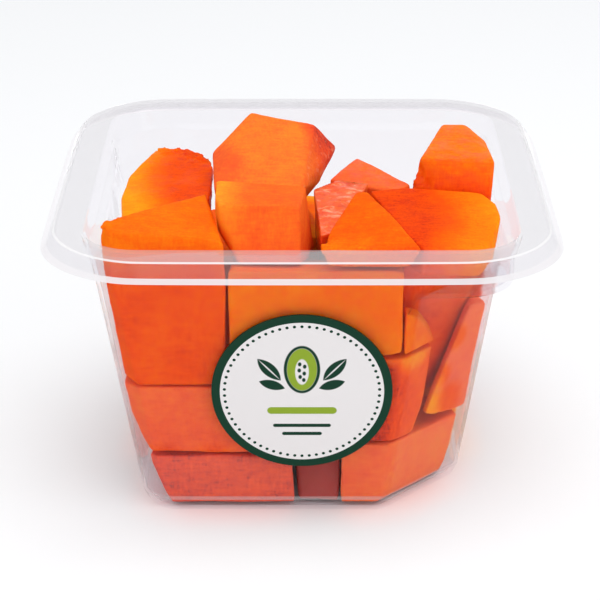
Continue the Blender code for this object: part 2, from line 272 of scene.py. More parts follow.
# %% Colours of the flesh
RIPENESS_COLOURS = (
    (0.00, (1.00, 0.340, 0.010)),
    (0.25, (0.99, 0.215, 0.006)),
    (0.50, (0.96, 0.130, 0.005)),
    (0.70, (0.90, 0.080, 0.005)),
    (0.90, (0.72, 0.042, 0.007)),
    # The darkest stop is partly painted shade: it also darkens blocks that lie deep in a gap or low
    # down.
    (1.00, (0.40, 0.022, 0.010)),
)
PALE_STRING_AND_SHEEN = (1.00, 0.42, 0.22, 1)
PAINTED_GROOVE_SHADE = (0.62, 0.03, 0.01, 1)
STRING_STARTS, GROOVE_STARTS = 0.54, 0.46


def ripeness_ramp(tree, ripe):
    """The colour of the flesh from skin to seeds."""
    ramp = node(tree, "ValToRGB", {"Fac": ripe})
    stops = ramp.color_ramp.elements
    while len(stops) < len(RIPENESS_COLOURS):
        stops.new(0.5)
    for stop, (place_on_ramp, colour) in zip(stops, RIPENESS_COLOURS):
        stop.position = place_on_ramp
        stop.color = (*colour, 1)
    return ramp.outputs["Color"]


def torn_look(tree, strings, torn, flesh):
    """Pale strings, partly a painted wet sheen, with painted shade in the grooves between them, where
    the flesh is torn.
    """
    above = maths(tree, "SUBTRACT", strings, STRING_STARTS, clamp=True)
    below = maths(tree, "SUBTRACT", GROOVE_STARTS, strings, clamp=True)
    # The pale strings are partly a painted wet sheen, and the dark grooves are painted shade.
    pale = maths(tree, "MULTIPLY", maths(tree, "MULTIPLY", above, torn), 5.0, clamp=True)
    dark = maths(tree, "MULTIPLY", maths(tree, "MULTIPLY", below, torn), 3.0, clamp=True)
    return mix_colours(tree, dark, mix_colours(tree, pale, flesh, PALE_STRING_AND_SHEEN), PAINTED_GROOVE_SHADE)


print("colours from skin to seeds:", len(RIPENESS_COLOURS))

# %% [markdown]
# The colours, blotches and fibres are one node group, because all blocks share them. Noises of
# several sizes move the ripeness a little up and down: broad and cloudy ones make blotches, and
# two combed ones that cross make fibres. The same fibres give the height for the bump. A painted
# veil pales the flesh of some blocks: it stands in for the reflection in the plastic wall in
# front of them, and for a sheen on some top faces.

# %% Flesh group
BROAD, CLOUDY, SPECKLE = 95.0, 330.0, 1900.0
UPRIGHT_FIBRES = ((1500, 1500, 220), (0.35, 0.2, 0))
LEVEL_FIBRES = ((230, 1300, 1500), (0, 0.3, 0.25))
TORN_STRINGS_GRAIN = ((300, 850, 850), (0.3, 0, 0.5))
FRECKLE_SHARE = 0.2
FIBRE_HEIGHT, PIT_HEIGHT, TORN_HEIGHT = 0.5, 0.22, 3.0
PAINTED_VEIL_COLOUR = (0.85, 0.52, 0.50, 1)
PAINTED_VEIL_SHARE = 0.14


def flesh_group():
    tree, given, out = new_group(
        "Papaya flesh",
        [
            ("Vector", "Vector", None),
            ("Ripeness", "Float", 0.5),
            ("Torn", "Float", 0.0),
            ("Blotches", "Float", 0.25),
            ("Fibres", "Float", 0.15),
            ("Painted veil", "Float", 0.0),
        ],
        [("Colour", "Color"), ("Height", "Float"), ("Wetness", "Float")],
    )
    place = given["Vector"]
    broad = noise(tree, place, BROAD, 2.0)
    cloudy = noise(tree, place, CLOUDY, 4.0, 0.6)
    speckle = noise(tree, place, SPECKLE, 2.0, 0.7)
    upright, level = grain(tree, place, *UPRIGHT_FIBRES), grain(tree, place, *LEVEL_FIBRES)
    strands = maths(tree, "MULTIPLY", maths(tree, "ADD", upright, level), 0.5)
    strings = grain(tree, place, *TORN_STRINGS_GRAIN, 0.6)

    freckles = maths(tree, "MULTIPLY", swing(tree, speckle, given["Fibres"]), FRECKLE_SHARE)
    fibres = maths(tree, "ADD", swing(tree, strands, given["Fibres"]), freckles)
    drift = maths(tree, "ADD", given["Ripeness"], swing(tree, broad, given["Blotches"]))
    mottle = maths(tree, "ADD", swing(tree, cloudy, given["Blotches"]), fibres)
    flesh = ripeness_ramp(tree, maths(tree, "ADD", drift, mottle))
    torn = torn_look(tree, strings, given["Torn"], flesh)
    # Painted veil: a pale mix that stands in for the plastic wall's reflection in front of a block, and
    # for a sheen on some tops.
    veil_amount = maths(tree, "MULTIPLY", given["Painted veil"], PAINTED_VEIL_SHARE)
    tree.links.new(mix_colours(tree, veil_amount, torn, PAINTED_VEIL_COLOUR), out["Colour"])

    fine = maths(tree, "ADD", swing(tree, strands, FIBRE_HEIGHT), swing(tree, speckle, PIT_HEIGHT))
    coarse = maths(tree, "MULTIPLY", maths(tree, "MULTIPLY", strings, given["Torn"]), TORN_HEIGHT)
    tree.links.new(maths(tree, "ADD", fine, coarse), out["Height"])

    film = maths(tree, "MULTIPLY", maths(tree, "SUBTRACT", cloudy, 0.42, clamp=True), 3.5, clamp=True)
    tree.links.new(maths(tree, "MAXIMUM", film, given["Torn"]), out["Wetness"])
    return tree


PAPAYA_FLESH = flesh_group()
print("flesh group:", len(PAPAYA_FLESH.nodes), "nodes")

# %% [markdown]
# The three flesh finishes differ in how blotchy, stringy and wet they are. Light enters fruit
# a few millimetres and comes out redder, which is subsurface scattering. Cut flesh is matt, and
# what shines is the juice on it: a thin clear coat, glossier where the film is thicker.
#
# Fruit this strong in colour would tint the floor around it. The picture to match has a neutral
# floor, so light that comes back from further off than 12 mm meets a greyer flesh.

# %% Flesh materials
JUICE_INDEX, FLESH_INDEX = 1.34, 1.38
DRY, WET = 0.55, 0.38
SOFT_LIGHT_REACH = (1.0, 0.35, 0.12)
SOFT_LIGHT_DEPTH = 2.2 * MM
FAR_OFF = 12 * MM
GREYER_FLESH = (0.40, 0.37, 0.36, 1)
GREYER_SHARE = 0.8


def from_far_off(tree):
    """1 for light that comes back from the floor or another thing further off, otherwise 0."""
    path = node(tree, "LightPath").outputs
    far = maths(tree, "GREATER_THAN", path["Ray Length"], FAR_OFF)
    return maths(tree, "MULTIPLY", path["Is Diffuse Ray"], far)


def flesh_material(name, blotches, fibres, wet):
    material, tree, shader = new_material(name)
    flesh = use_group(tree, PAPAYA_FLESH, {
        "Vector": node(tree, "TexCoord").outputs["Object"],
        "Ripeness": stored(tree, "ripeness"),
        "Torn": stored(tree, "torn"),
        "Blotches": blotches,
        "Fibres": fibres,
        "Painted veil": stored(tree, "haze"),
    })
    greyer = maths(tree, "MULTIPLY", from_far_off(tree), GREYER_SHARE)
    colour = mix_colours(tree, greyer, flesh["Colour"], GREYER_FLESH)
    plug(tree, colour, shader.inputs["Base Color"])
    dull = node(tree, "MapRange", {"Value": flesh["Wetness"], "To Min": DRY, "To Max": WET})
    plug(tree, dull.outputs[0], shader.inputs["Roughness"])
    film = maths(tree, "ADD", flesh["Wetness"], 0.25)
    coat = maths(tree, "MULTIPLY", film, maths(tree, "ADD", stored(tree, "juice"), 0.08))
    plug(tree, maths(tree, "MULTIPLY", coat, wet, clamp=True), shader.inputs["Coat Weight"])
    shader.inputs["Coat Roughness"].default_value = 0.16
    shader.inputs["Coat IOR"].default_value = JUICE_INDEX
    shader.inputs["IOR"].default_value = FLESH_INDEX
    shader.inputs["Specular IOR Level"].default_value = 0.0
    shader.inputs["Subsurface Weight"].default_value = 0.35
    shader.inputs["Subsurface Radius"].default_value = SOFT_LIGHT_REACH
    shader.inputs["Subsurface Scale"].default_value = SOFT_LIGHT_DEPTH
    plug(tree, bump_of(tree, flesh["Height"], 0.5, 0.12 * MM), shader.inputs["Normal"])
    return material


FLESH_FINISHES = {
    "papaya_yellow": flesh_material("papaya flesh near the skin", 0.28, 0.76, 1.0),
    "papaya_orange": flesh_material("papaya flesh", 0.32, 0.84, 1.2),
    "papaya_red": flesh_material("papaya flesh near the seeds", 0.34, 0.86, 1.4),
}
print("flesh finishes:", list(FLESH_FINISHES))

# %% [markdown]
# ## Blocks of papaya
#
# Each block is a hand-cut, slightly bent box with edges that are no longer sharp. A copy of
# the CAD solid gives its flat sides. It could be bevelled and left smooth, but real cut flesh
# is never flat: the knife leaves shallow waves, and soft flesh sags and tears at the edges.
# So the copy is remeshed into small even faces, smoothed, and then pushed in by noise. The push
# goes inwards for the most part, because the blocks stand 0.3 mm apart.
#
# The table below says, for each block, its finish, which way its skin lay, how ripe the flesh
# is on that side and on the far side, and between which depths under the skin the change lies,
# in millimetres. "torn" names the way that a torn or seed side faces, "tear" how torn it is,
# "juice" how wet the block is, and the veil how much the flesh is paled by a painted veil: a
# painted reflection of the wall on blocks behind it, and a painted sheen on some top blocks. The
# rest are lists of balls, each a centre and a radius in millimetres, inside which the block is
# ragged, carries painted shade or painted light as a change of ripeness, or is clear of the
# painted veil.

# %% What each block shows
LEFT, RIGHT = Vector((-1, 0, 0)), Vector((1, 0, 0))
FRONT, BACK = Vector((0, -1, 0)), Vector((0, 1, 0))
UP, DOWN = Vector((0, 0, 1)), Vector((0, 0, -1))


def block(finish, skin, ripe, depth, **more):
    return dict(slot="papaya_" + finish, skin=skin, ripe=ripe, depth=depth, **more)


BLOCKS = {
    "piece_rear_left_high": block(
        "yellow", LEFT + 0.25 * UP - 0.1 * BACK, (0.09, 0.74), (0, 11), torn=RIGHT + 0.4 * UP,
        tear=0.6, juice=0.15, ragged=[(-34, 11, 80, 7), (-25, 5, 79, 7)]),
    "piece_front_left_high": block(
        "yellow", UP, (0.41, 0.68), (0, 9), ragged=[(-46, -44, 81, 5)]),
    # The ball here is painted shade: riper, darker flesh on this block's shaded left side.
    "piece_top_middle_high": block(
        "orange", RIGHT + 0.3 * UP, (0.88, 0.37), (1.5, 6), torn=RIGHT, tear=0.5, haze=0.3,
        riper=[((-22, -14, 80, 12), 0.25)]),
    "piece_top_front_middle": block("orange", LEFT, (0.12, 0.54), (0, 8), haze=0.18),
    "piece_top_front_wedge": block(
        "orange", LEFT + 0.6 * FRONT, (0.46, 0.56), (0, 14), ragged=[(5, -46, 75, 5)]),
    "piece_top_right": block("yellow", RIGHT + 0.25 * UP, (0.23, 0.80), (0, 18)),
    "piece_top_right_rear": block(
        "red", UP, (0.42, 0.76), (0, 9), juice=0.3, ragged=[(28, -16, 80, 5)]),
    "piece_top_wet": block("red", DOWN, (0.50, 0.62), (10, 20), torn=UP, juice=1.0, haze=0.35),
    "piece_top_middle_rear": block("red", DOWN, (0.50, 0.60), (10, 20), juice=0.3, haze=0.3),
    "piece_front_middle_high": block("yellow", FRONT, (0.40, 0.60), (0, 18)),
    "piece_front_left_mid": block(
        "red", DOWN, (0.68, 0.62), (3, 6), haze=0.5,
        clear=[(-22, -42, 12, 9.5), (-35, -42, 12, 9.5), (-9, -42, 12, 9.5)]),
    # Its dark, deep colour is partly painted shade, for a low block that gets less light.
    "piece_front_left_low": block("red", DOWN, (0.82, 0.86), (0, 16), haze=0.9),
    "piece_right_corner": block("red", RIGHT, (0.54, 0.76), (2, 18)),
    # Its lighter, yellower left edge is painted light on the block's left face.
    "piece_right_high": block(
        "orange", LEFT + 0.4 * FRONT, (0.12, 0.60), (0.5, 6), haze=0.8,
        clear=[(38, -30, 25, 8), (32, -34, 26, 6), (35.5, -33, 34, 5), (39, -31.5, 44, 5)]),
    "piece_front_right_high": block("orange", RIGHT, (0.40, 0.46), (0, 8)),
    # The balls here are painted light: less ripe, lighter orange flesh on the top of this block, where
    # light falls on it.
    "piece_front_right_mid": block(
        "red", RIGHT, (0.64, 0.90), (2, 12), haze=0.15,
        riper=[((28, -42, 46, 8), -0.34), ((18, -44, 46, 6), -0.3)]),
    "piece_front_right_low": block("orange", LEFT, (0.56, 0.50), (2, 12), haze=0.7),
    "piece_front_middle_mid": block("orange", FRONT, (0.40, 0.60), (0, 20)),
    # Its darkest flesh is painted shade, for a block that lies deep in a gap.
    "piece_front_gap": block("red", BACK, (1.00, 1.20), (0, 14), haze=0.8),
    "piece_left_mid": block("yellow", LEFT, (0.10, 0.60), (0, 12)),
    "piece_left_low": block("orange", BACK, (0.30, 0.65), (0, 20)),
    "piece_middle_mid": block("orange", FRONT, (0.30, 0.65), (0, 20)),
    "piece_middle_low": block("red", DOWN, (0.50, 0.80), (0, 20)),
    "piece_right_mid": block("red", DOWN, (0.45, 0.80), (0, 18)),
    "piece_right_low": block("yellow", RIGHT, (0.10, 0.60), (0, 14)),
    "piece_rear_left_mid": block("orange", LEFT, (0.15, 0.65), (0, 14)),
    "piece_rear_left_low": block("yellow", BACK, (0.10, 0.55), (0, 14)),
    "piece_rear_middle_mid": block("yellow", BACK, (0.12, 0.60), (0, 14)),
    "piece_rear_middle_low": block("orange", LEFT, (0.30, 0.65), (0, 20)),
    "piece_rear_right_mid": block("orange", RIGHT, (0.15, 0.60), (0, 14)),
    "piece_rear_right_low": block("red", DOWN, (0.50, 0.75), (0, 18)),
}
assert set(BLOCKS) == {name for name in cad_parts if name.startswith("piece_")}
print("blocks to make:", len(BLOCKS))

# %% [markdown]
# Three things are worked out for each corner of a block's mesh: how ripe it is, whether it lies
# on the torn side, and whether it is near a spot of the table. They could be painted by hand,
# but a sum over all corners at once gives the same soft edges on every block.

# %% Where on a block a change lies
FRUIT_RADIUS = 46 * MM
TORN_TURN = (0.72, 0.93)


def smooth_step(values, low, high):
    share = np.clip((values - low) / (high - low), 0, 1)
    return share * share * (3 - 2 * share)


def torn_share(piece, way):
    """How far each corner of the mesh belongs to the torn side, from 0 to 1."""
    if way is None:
        return np.zeros(len(piece.data.vertices))
    return smooth_step(corner_normals(piece) @ np.array(way.normalized()), *TORN_TURN)


def ripeness(piece, skin, ripe, depth):
    """Ripeness by depth under a round skin that touches the block's outermost point."""
    places = corner_places(piece)
    outward = np.array(skin.normalized())
    middle = places.mean(axis=0)
    reach = ((places - middle) @ outward).max()
    centre = middle + outward * (reach - FRUIT_RADIUS)
    under_skin = FRUIT_RADIUS - np.linalg.norm(places - centre, axis=1)
    turn = smooth_step(under_skin, depth[0] * MM, depth[1] * MM)
    return ripe[0] + (ripe[1] - ripe[0]) * turn


def near(piece, ball):
    """How far each corner of the mesh lies inside a ball, from 0 at its skin to 1 half-way in."""
    *centre, radius = ball
    away = np.linalg.norm(corner_places(piece) / MM - np.array(centre), axis=1)
    return smooth_step(radius - away, 0, radius / 2)


print("radius of the whole fruit:", round(FRUIT_RADIUS / MM), "mm")

# %% [markdown]
# The noise that pushes the flesh in comes from Blender's cloud textures, through Displace
# modifiers. A broad one makes the sagging and knife waves, and a fine one the surface. Two
# more, deeper ones act only on a torn side or a ragged spot, through a vertex group.

# %% Noise textures for the push
def clouds(name, size, depth):
    made = bpy.data.textures.new(name, "CLOUDS")
    made.noise_scale = size
    made.noise_depth = depth
    return made


KNIFE_WAVES = clouds("knife waves", 11 * MM, 1)
SURFACE_GRAIN = clouds("surface grain", 2.2 * MM, 2)
TORN_STRINGS = clouds("torn strings", 1.9 * MM, 3)
TORN_HOLLOWS = clouds("torn hollows", 5.0 * MM, 1)
print("textures:", KNIFE_WAVES.name, SURFACE_GRAIN.name, TORN_STRINGS.name, TORN_HOLLOWS.name)

# %% Push and mark the surface
WAVE_DEPTH, GRAIN_DEPTH = 0.6 * MM, 0.14 * MM
HOLLOW_DEPTH, STRING_DEPTH, RAGGED_DEPTH = 1.0 * MM, 0.7 * MM, 2.6 * MM
MOSTLY_IN, BOTH_WAYS = 0.75, 0.6


def push_in(piece, texture, strength, group="", middle=MOSTLY_IN):
    """Move the surface in and out by up to strength, as the texture says."""
    apply_modifier(piece, "DISPLACE", texture=texture, texture_coords="GLOBAL", mid_level=middle,
                   strength=strength, vertex_group=group)


def weigh(piece, name, share):
    """A vertex group with these weights."""
    group = piece.vertex_groups.new(name=name)
    for index in np.flatnonzero(share > 0.01):
        group.add([int(index)], float(share[index]), "REPLACE")


def roughen(piece, torn, ragged):
    """Strings and hollows on the torn side, ragged spots, then waves and grain all over."""
    if torn.any():
        weigh(piece, "torn side", torn)
        push_in(piece, TORN_HOLLOWS, HOLLOW_DEPTH, "torn side")
        push_in(piece, TORN_STRINGS, STRING_DEPTH, "torn side")
    if ragged:
        weigh(piece, "ragged", np.max([near(piece, ball) for ball in ragged], axis=0))
        push_in(piece, TORN_STRINGS, RAGGED_DEPTH, "ragged", BOTH_WAYS)
    push_in(piece, KNIFE_WAVES, WAVE_DEPTH)
    push_in(piece, SURFACE_GRAIN, GRAIN_DEPTH)


print("deepest ragged spot:", round(RAGGED_DEPTH / MM, 1), "mm")

# %% Make the blocks
FACE_SIZE = 0.5 * MM


def shape_block(name, facts):
    piece = copy_of_node(name, name.replace("piece_", "papaya_"))
    apply_modifier(piece, "REMESH", mode="VOXEL", voxel_size=FACE_SIZE, use_smooth_shade=True)
    apply_modifier(piece, "SMOOTH", factor=0.5, iterations=4)
    torn = torn_share(piece, facts.get("torn")) * facts.get("tear", 1.0)
    roughen(piece, torn, facts.get("ragged", ()))
    ripe = ripeness(piece, facts["skin"], facts["ripe"], facts["depth"])
    # Painted light and shade: a ball moves the ripeness up to darken the flesh, or down to lighten it.
    for ball, change in facts.get("riper", ()):
        ripe = ripe + change * near(piece, ball)
    # Painted veil, taken off inside the clear balls.
    haze = np.full(len(ripe), facts.get("haze", 0.0))
    for ball in facts.get("clear", ()):
        haze = haze * (1 - near(piece, ball))
    store(piece, "ripeness", ripe)
    store(piece, "torn", torn)
    store(piece, "haze", haze)
    store(piece, "juice", np.full(len(ripe), facts.get("juice", 0.0)))
    hand_over(piece, name, FLESH_FINISHES[facts["slot"]])
    return piece


blocks = [shape_block(name, facts) for name, facts in BLOCKS.items()]
print("faces in the fruit:", sum(len(piece.data.polygons) for piece in blocks))

# %% [markdown]
# ## Clear tub
#
# The tub is one sheet of clear plastic, heated and drawn into a mould. So its walls are thin
# and even, its folds have small rounds, and its corners flow. The CAD solid has those folds as
# sharp lines, and its round corners in steps. A copy is merged and joined back into quads. The
# level folds are creased, so that a Subdivision Surface rounds the corners and leaves the
# folds. Two level cuts mark off the thin line where the sheet turns into the foot, and a small
# bevel then softens the folds.

# %% Find the level folds
FOLD_ANGLE = math.radians(9)
LEVEL = 0.01 * MM


def sides_of_edges(mesh):
    """The two faces on each edge, by the edge's number."""
    numbers = {edge.key: edge.index for edge in mesh.edges}
    sides = {}
    for face in mesh.polygons:
        for key in face.edge_keys:
            sides.setdefault(numbers[key], []).append(face.index)
    return sides


def level_folds(mesh):
    """Numbers of the level edges where the sheet folds."""
    sides = sides_of_edges(mesh)
    normals = [face.normal.copy() for face in mesh.polygons]
    found = []
    for edge in mesh.edges:
        one, other = (mesh.vertices[index].co for index in edge.vertices)
        first, second = (normals[index] for index in sides[edge.index])
        if abs(one.z - other.z) < LEVEL and first.angle(second) > FOLD_ANGLE:
            found.append(edge.index)
    return found


tub = copy_of_node("tub", "clear_tub")
print("edges of the tub in loose triangles:", len(tub.data.edges))

# %% Round the corners
edit_all(tub)
bpy.ops.mesh.tris_convert_to_quads(face_threshold=math.radians(40), shape_threshold=math.radians(180))
leave_edit()
folds = level_folds(tub.data)
crease = tub.data.attributes.new("crease_edge", "FLOAT", "EDGE")
for number in folds:
    crease.data[number].value = 1.0
print("tub faces:", len(tub.data.polygons), "creased edges:", len(folds))
apply_modifier(tub, "SUBSURF", levels=2, render_levels=2)

# %% Cut the foot line and soften the folds
FOLD_ROUND = 0.3 * MM
FOOT_LINE = (3.45, 4.15)


def select_edges(piece, numbers):
    """Select these edges alone and open edit mode on edges."""
    mesh = piece.data
    for parts in (mesh.vertices, mesh.edges, mesh.polygons):
        parts.foreach_set("select", [False] * len(parts))
    for number in numbers:
        mesh.edges[number].select = True
    bpy.ops.object.mode_set(mode="EDIT")
    bpy.context.tool_settings.mesh_select_mode = (False, True, False)


edit_all(tub)
for height in FOOT_LINE:
    bpy.ops.mesh.select_all(action="SELECT")
    bpy.ops.mesh.bisect(plane_co=(0, 0, height * MM), plane_no=(0, 0, 1))
leave_edit()
select_edges(tub, level_folds(tub.data))
bpy.ops.mesh.bevel(offset=FOLD_ROUND, offset_type="OFFSET", segments=2, clamp_overlap=True)
leave_edit()
bpy.ops.object.shade_smooth()
print("tub faces:", len(tub.data.polygons), "on folds:", sum(face.select for face in tub.data.polygons))

# %% [markdown]
# A fold in clear sheet gathers light, and so do the flange's edge and the skirt's foot, which
# The white lines around the rim, along the folds, the flange's edge and the skirt's foot, are
# painted highlights: these faces glow where the rounds of the sheet would catch the lamps. The
# flange's milky look is a painted glow as well. Each face stores how strongly it glows so, as an
# attribute.
# A face's part of the rim follows from its height and from how far it lies inside the rounded
# square that the skirt's foot makes. All sizes in this cell are in millimetres.

# %% Painted highlights and glow on the rim
RIM_TOP = corner_places(tub)[:, 2].max() / MM
SKIRT_HALF, SKIRT_CORNER = 63.0, 26.4
SKIRT_FOOT = RIM_TOP - 4.3
FLANGE_EDGE, RIM_WIDTH = 3.9, 12
# How strongly each part glows: painted highlights on the edge, the foot and the folds, and a painted
# milky glow on the flange and the skirt.
PAINTED_GLINT_BY_PART = {"edge": 0.85, "foot": 0.25, "fold": 0.35, "flange": 0.42, "skirt": 0.07, "wall": 0.0}


def inside_skirt(place):
    """How far inside the skirt's rounded square a place lies."""
    across = [max(abs(value) / MM - (SKIRT_HALF - SKIRT_CORNER), 0) for value in place[:2]]
    return SKIRT_CORNER - math.hypot(*across)


def part_of_rim(face):
    height = face.center.z / MM
    depth = inside_skirt(face.center)
    if FOOT_LINE[0] < height < FOOT_LINE[1]:
        return "foot"
    if height < SKIRT_FOOT - 0.1 or depth > RIM_WIDTH:
        return "fold" if face.select else "wall"
    if depth < FLANGE_EDGE and (height < SKIRT_FOOT + 0.45 or height > RIM_TOP - 0.5):
        return "edge"
    if face.normal.z > 0.9 and height > RIM_TOP - 0.3:
        return "flange"
    if face.select:
        return "fold"
    return "skirt" if depth < FLANGE_EDGE else "wall"


parts_of_rim = [part_of_rim(face) for face in tub.data.polygons]
store(tub, "painted_glint", np.array([PAINTED_GLINT_BY_PART[part] for part in parts_of_rim]), "FACE")
print("faces by part of the rim:", {part: parts_of_rim.count(part) for part in PAINTED_GLINT_BY_PART})

# %% [markdown]
# A sheet this thin hardly bends the light that passes, and it reflects twice, off its front
# and its back. So the shader has a low index for what passes, and a clear coat with a high one
# for what it reflects. The coat is on the outside of each wall only, since glass seen from
# inside would turn white at a slant. The sheet is never quite flat, so a slow noise bends the
# reflections a little, and a fine one adds rub marks.

# %% Shine of the sheet
SHEET_INDEX = 1.01
SHINE_INDEX = 2.2
EDGE_INDEX = 1.5
LEAST_SHINE = 0.18
SHINE_GROWS = (0.065, 0.17)


def shine_weight(tree, normal):
    """Weak gloss face on, and full gloss at a slant, on the outside of a wall."""
    glancing = node(tree, "Fresnel", {"IOR": EDGE_INDEX, "Normal": normal}).outputs[0]
    shine = node(tree, "MapRange", {
        "Value": glancing, "From Min": SHINE_GROWS[0], "From Max": SHINE_GROWS[1],
        "To Min": LEAST_SHINE,
    })
    outside = maths(tree, "SUBTRACT", 1.0, node(tree, "NewGeometry").outputs["Backfacing"])
    return maths(tree, "MULTIPLY", shine.outputs[0], outside)


def rub_marks(tree, place):
    """Roughness with faint upright marks."""
    upright = node(tree, "Mapping", {"Vector": place, "Scale": (1, 1, 0.3)}).outputs[0]
    marks = maths(tree, "SUBTRACT", noise(tree, upright, 260.0, 4.0, 0.7), 0.6, clamp=True)
    return maths(tree, "ADD", maths(tree, "MULTIPLY", marks, 0.5), 0.02)


print("index of the sheet:", SHEET_INDEX, "and of its shine:", SHINE_INDEX)

# %% [markdown]
# Lamps should still light the fruit inside, and a path tracer finds that hard through glass. So
# for shadow rays and bounced light the glass is swapped for a Transparent shader, and for what
# the camera sees it is half of each. A face with painted light on it passes less and glows in
# its place, and more of it is glass.

# %% Clear plastic
GLASS_SHARE = 0.5
BLACK = (0, 0, 0, 1)
SHEET_TINT = (0.92, 0.90, 0.925, 1)
PAINTED_GLINT_COLOUR = (1.0, 0.985, 1.0, 1)
CLEAR_FOR_LIGHT = (0.99, 0.985, 0.99, 1)
CLEAR_FOR_EYE = (0.965, 0.957, 0.968, 1)


def swap_for_clear(tree, shader, painted_glint):
    """Mix the glass with a Transparent shader, by the kind of ray and the face's painted glow."""
    path = node(tree, "LightPath").outputs
    bounced = maths(tree, "ADD", path["Is Shadow Ray"], path["Diffuse Depth"])
    seen = maths(tree, "LESS_THAN", bounced, 0.5)
    tint = mix_colours(tree, seen, CLEAR_FOR_LIGHT, CLEAR_FOR_EYE)
    clear = node(tree, "BsdfTransparent", {"Color": tint})
    share = maths(tree, "MULTIPLY", maths(tree, "MAXIMUM", painted_glint, GLASS_SHARE), seen)
    swap = node(tree, "MixShader", {0: share, 1: clear.outputs[0], 2: shader.outputs[0]})
    tree.links.new(swap.outputs[0], tree.nodes["Material Output"].inputs["Surface"])


def plastic_material():
    material, tree, shader = new_material("clear plastic")
    place = node(tree, "TexCoord").outputs["Object"]
    painted_glint = stored(tree, "painted_glint")
    # Painted highlights and glow: where a face glows, the sheet lets less light through.
    painted_glint_full = maths(tree, "MULTIPLY", painted_glint, 1 / GLASS_SHARE, clamp=True)
    passes = maths(tree, "POWER", maths(tree, "SUBTRACT", 1.0, painted_glint_full), 2.0)
    plug(tree, mix_colours(tree, passes, BLACK, SHEET_TINT), shader.inputs["Base Color"])
    shader.inputs["IOR"].default_value = SHEET_INDEX
    shader.inputs["Transmission Weight"].default_value = 1.0
    shader.inputs["Coat IOR"].default_value = SHINE_INDEX
    shader.inputs["Coat Roughness"].default_value = 0.05
    plug(tree, rub_marks(tree, place), shader.inputs["Roughness"])
    wavy = bump_of(tree, noise(tree, place, 45.0, 1.0), 0.35, 0.6 * MM)
    plug(tree, wavy, shader.inputs["Normal"])
    plug(tree, shine_weight(tree, wavy), shader.inputs["Coat Weight"])
    # The glow is painted light, an emission in place of the highlights on the rounds and of the
    # flange's milky sheen.
    painted_glow = maths(tree, "MULTIPLY", painted_glint_full, maths(tree, "MULTIPLY_ADD", painted_glint, 0.70, 0.43))
    plug(tree, mix_colours(tree, painted_glow, BLACK, PAINTED_GLINT_COLOUR), shader.inputs["Emission Color"])
    shader.inputs["Emission Strength"].default_value = 1.0
    swap_for_clear(tree, shader, painted_glint)
    return material


hand_over(tub, "tub", plastic_material())
print("tub done:", tub.name)

# %% [markdown]
# ## Sticker
#
# The sticker is a disc of coated paper on the leaning front wall. Its print could be a
# picture, but shapes that are worked out in the shader stay sharp at any size. The print reads
# a UV map that is made here: its centre is 0, 0 and the sticker's edge lies at 1.

# %% Measure the CAD disc
def label_frame():
    """Centre, radius, lean and thickness of the CAD disc."""
    places = corner_places(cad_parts["label"])
    centre = places.mean(axis=0)
    low, high = places.min(axis=0), places.max(axis=0)
    uphill = places[places[:, 2].argmax()] - places[places[:, 2].argmin()]
    lean = math.atan2(-uphill[1], uphill[2])
    outward = np.array((0, -math.cos(lean), -math.sin(lean)))
    along = (places - centre) @ outward
    return Vector(centre), (high[0] - low[0]) / 2, lean, along.max() - along.min()


label_centre, label_radius, label_lean, label_thick = label_frame()
print("sticker radius mm", round(label_radius / MM, 2), "lean", round(math.degrees(label_lean), 2))

# %% Sticker mesh and its UV map
RIM_ROUND = 0.06 * MM
JUST_INSIDE = 0.999

bpy.ops.object.select_all(action="DESELECT")
bpy.ops.mesh.primitive_cylinder_add(vertices=160, radius=label_radius * JUST_INSIDE,
                                    depth=label_thick, end_fill_type="NGON")
sticker = bpy.context.object
sticker.name = "round_sticker"
edit_all(sticker)
bpy.ops.mesh.bevel(offset=RIM_ROUND, segments=2)
leave_edit()
print_map = sticker.data.uv_layers.new(name="print")
for loop in sticker.data.loops:
    corner = sticker.data.vertices[loop.vertex_index].co
    print_map.data[loop.index].uv = (corner.x / label_radius, corner.y / label_radius)
stand_up = Matrix.Rotation(math.radians(90) + label_lean, 4, "X")
sticker.data.transform(Matrix.Translation(label_centre) @ stand_up)
print("sticker faces:", len(sticker.data.polygons))

# %% [markdown]
# The design is generic: an off-white field in a dark green ring, with a ring of small dots
# inside it. In the middle a cut fruit with its seeds stands between leaves, over plain bars.
# One group draws an oval at any place, size and turn, and the shapes are made from it. A mask
# is 1 where there is ink: the larger of two masks prints both shapes, and their product only
# what they share.

# %% Oval group
INK_SHARPNESS = 120.0


def oval_group():
    """Mask of an oval: 1 inside, 0 outside, with an edge as soft as ink on paper."""
    tree, given, out = new_group(
        "Printed oval",
        [
            ("Vector", "Vector", None),
            ("Centre", "Vector", (0, 0, 0)),
            ("Turn", "Float", 0.0),
            ("Half width", "Float", 0.1),
            ("Half height", "Float", 0.1),
        ],
        [("Mask", "Float")],
    )
    offset = node(tree, "VectorMath", {0: given["Vector"], 1: given["Centre"]}, operation="SUBTRACT")
    turned = node(tree, "VectorRotate", {"Vector": offset.outputs[0], "Angle": given["Turn"]},
                  rotation_type="Z_AXIS")
    parts = node(tree, "SeparateXYZ", {0: turned.outputs[0]}).outputs
    across = maths(tree, "POWER", maths(tree, "DIVIDE", parts["X"], given["Half width"]), 2.0)
    along = maths(tree, "POWER", maths(tree, "DIVIDE", parts["Y"], given["Half height"]), 2.0)
    distance = maths(tree, "SQRT", maths(tree, "ADD", across, along))
    smaller = maths(tree, "MINIMUM", given["Half width"], given["Half height"])
    inside = maths(tree, "MULTIPLY", maths(tree, "SUBTRACT", 1.0, distance), smaller)
    edge = maths(tree, "MULTIPLY", inside, INK_SHARPNESS)
    tree.links.new(maths(tree, "ADD", edge, 0.5, clamp=True), out["Mask"])
    return tree


PRINTED_OVAL = oval_group()
print("oval group:", len(PRINTED_OVAL.nodes), "nodes")


